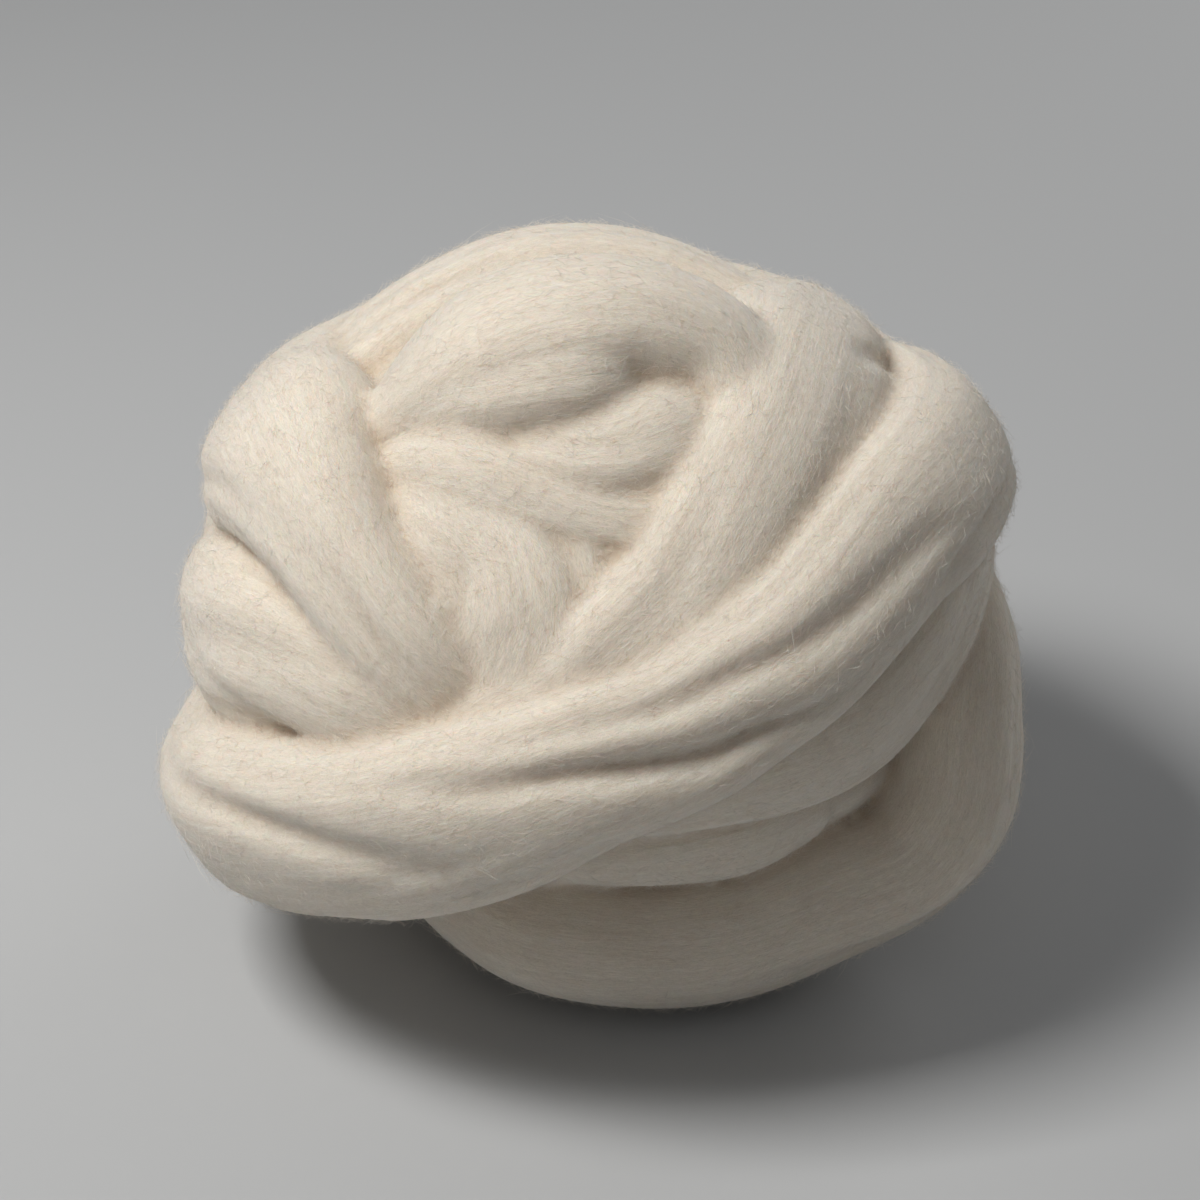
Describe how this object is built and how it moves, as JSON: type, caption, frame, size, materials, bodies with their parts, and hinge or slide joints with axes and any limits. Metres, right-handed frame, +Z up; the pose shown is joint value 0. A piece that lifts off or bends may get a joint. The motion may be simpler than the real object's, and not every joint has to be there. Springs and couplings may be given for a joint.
{
  "type": "wool roving ball",
  "caption": "Loose ball of combed wool roving: broad soft strands wound across each other round a coiled heart, for felting and spinning.",
  "frame": {"origin": "the middle of the ball's footprint, on the surface it rests on", "axes": "+Z up, +X along the ball's widest way, -Y towards the side where the two broad diagonal strands cross the front"},
  "size_m": [0.243, 0.2222, 0.2171],
  "materials": {
    "wool": "soft matt cream wool with a faint satin sheen along the fibres"
  },
  "bodies": {
    "root": {"wound_roving": "wool"}
  },
  "joints": []
}
